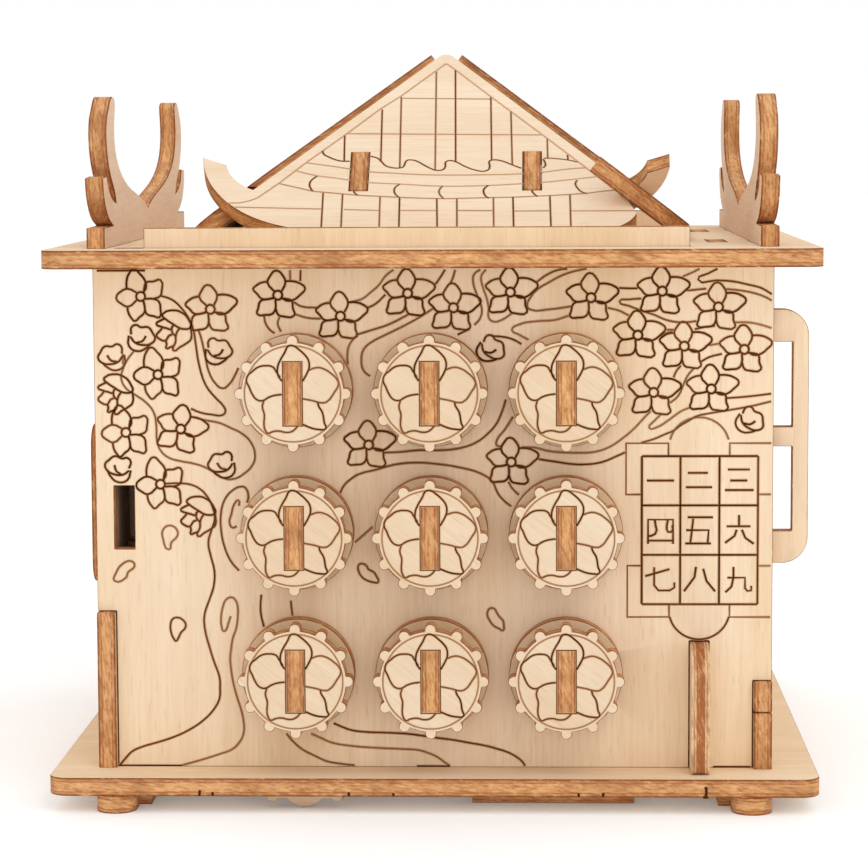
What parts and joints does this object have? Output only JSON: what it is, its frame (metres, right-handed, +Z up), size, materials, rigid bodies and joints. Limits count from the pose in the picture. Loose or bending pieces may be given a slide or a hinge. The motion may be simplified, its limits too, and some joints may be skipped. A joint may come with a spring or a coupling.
{
  "type": "wooden puzzle box",
  "caption": "Laser-cut plywood puzzle box with scalloped dials, a sliding lock grip, a side drawer and a lift-off pagoda roof.",
  "frame": {"origin": "centre of the footprint, on the surface that the feet stand on", "axes": "+X to the right and -Y to the front with the dials, +Z up"},
  "size_m": [0.16, 0.16, 0.1583],
  "materials": {
    "birch_face": "sanded, unvarnished",
    "birch_inner": "sanded, unvarnished",
    "birch_wing": "sanded, unvarnished",
    "birch_roof": "sanded, unvarnished",
    "birch_dial": "sanded, unvarnished",
    "burnt_birch": "sanded, unvarnished"
  },
  "bodies": {
    "box": {"base_plate": "birch_face", "top_plate": "birch_face", "front_panel": "birch_face", "back_panel": "birch_face", "left_wall": "birch_inner", "right_wall": "birch_inner", "inner_wall": "birch_inner", "feet": "burnt_birch", "wing_left": "birch_wing", "wing_right": "birch_wing", "dial_washers": "birch_inner", "slider_rails": "birch_inner", "drawer_shelf": "birch_inner", "drawer_guides": "birch_inner", "key_guide": "birch_inner", "bottom_guides": "burnt_birch"},
    "lock_slider": {"lock_slider": "birch_face"},
    "side_drawer": {"drawer_face": "burnt_birch", "drawer_floor": "birch_face", "drawer_side_front": "birch_face", "drawer_side_back": "birch_face", "drawer_end": "birch_face"},
    "pull_key": {"pull_key": "burnt_birch"},
    "bottom_slider": {"bottom_slider": "birch_inner", "bottom_grip": "burnt_birch"},
    "roof": {"roof_front": "birch_roof", "roof_right": "birch_roof", "roof_back": "birch_roof", "roof_left": "birch_roof", "roof_ribs": "burnt_birch"},
    "dial_1": {"dial_face_1": "birch_dial", "dial_shaft_1": "burnt_birch", "dial_keeper_1": "birch_inner"},
    "dial_2": {"dial_face_2": "birch_dial", "dial_shaft_2": "burnt_birch", "dial_keeper_2": "birch_inner"},
    "dial_3": {"dial_face_3": "birch_dial", "dial_shaft_3": "burnt_birch", "dial_keeper_3": "birch_inner"},
    "dial_4": {"dial_face_4": "birch_dial", "dial_shaft_4": "burnt_birch", "dial_keeper_4": "birch_inner"},
    "dial_5": {"dial_face_5": "birch_dial", "dial_shaft_5": "burnt_birch", "dial_keeper_5": "birch_inner"},
    "dial_6": {"dial_face_6": "birch_dial", "dial_shaft_6": "burnt_birch", "dial_keeper_6": "birch_inner"},
    "dial_7": {"dial_face_7": "birch_dial", "dial_shaft_7": "burnt_birch", "dial_keeper_7": "birch_inner"},
    "dial_8": {"dial_face_8": "birch_dial", "dial_shaft_8": "burnt_birch", "dial_keeper_8": "birch_inner"},
    "dial_9": {"dial_face_9": "birch_dial", "dial_shaft_9": "burnt_birch", "dial_keeper_9": "birch_inner"}
  },
  "joints": [
    {"name": "dial_1_turn", "type": "hinge", "parent": "box", "child": "dial_1", "pos_m": [-0.02828, -0.0682, 0.08752], "axis": [0, 1, 0], "continuous": true},
    {"name": "dial_2_turn", "type": "hinge", "parent": "box", "child": "dial_2", "pos_m": [-0.0003, -0.0682, 0.08752], "axis": [0, 1, 0], "continuous": true},
    {"name": "dial_3_turn", "type": "hinge", "parent": "box", "child": "dial_3", "pos_m": [0.02768, -0.0682, 0.08752], "axis": [0, 1, 0], "continuous": true},
    {"name": "dial_4_turn", "type": "hinge", "parent": "box", "child": "dial_4", "pos_m": [-0.02828, -0.0682, 0.05771], "axis": [0, 1, 0], "continuous": true},
    {"name": "dial_5_turn", "type": "hinge", "parent": "box", "child": "dial_5", "pos_m": [-0.0003, -0.0682, 0.05771], "axis": [0, 1, 0], "continuous": true},
    {"name": "dial_6_turn", "type": "hinge", "parent": "box", "child": "dial_6", "pos_m": [0.02768, -0.0682, 0.05771], "axis": [0, 1, 0], "continuous": true},
    {"name": "dial_7_turn", "type": "hinge", "parent": "box", "child": "dial_7", "pos_m": [-0.02828, -0.0682, 0.02791], "axis": [0, 1, 0], "continuous": true},
    {"name": "dial_8_turn", "type": "hinge", "parent": "box", "child": "dial_8", "pos_m": [-0.0003, -0.0682, 0.02791], "axis": [0, 1, 0], "continuous": true},
    {"name": "dial_9_turn", "type": "hinge", "parent": "box", "child": "dial_9", "pos_m": [0.02768, -0.0682, 0.02791], "axis": [0, 1, 0], "continuous": true},
    {"name": "lock_slider_pull", "type": "slide", "parent": "box", "child": "lock_slider", "axis": [1, 0, 0], "range_m": [0, 0.008]},
    {"name": "side_drawer_pull", "type": "slide", "parent": "box", "child": "side_drawer", "axis": [-1, 0, 0], "range_m": [0, 0.085]},
    {"name": "pull_key_pull", "type": "slide", "parent": "box", "child": "pull_key", "axis": [0, -1, 0], "range_m": [0, 0.06]},
    {"name": "bottom_slider_push", "type": "slide", "parent": "box", "child": "bottom_slider", "axis": [1, 0, 0], "range_m": [0, 0.018]},
    {"name": "roof_lift", "type": "slide", "parent": "box", "child": "roof", "axis": [0, 0, 1], "range_m": [0, 0.06]}
  ]
}
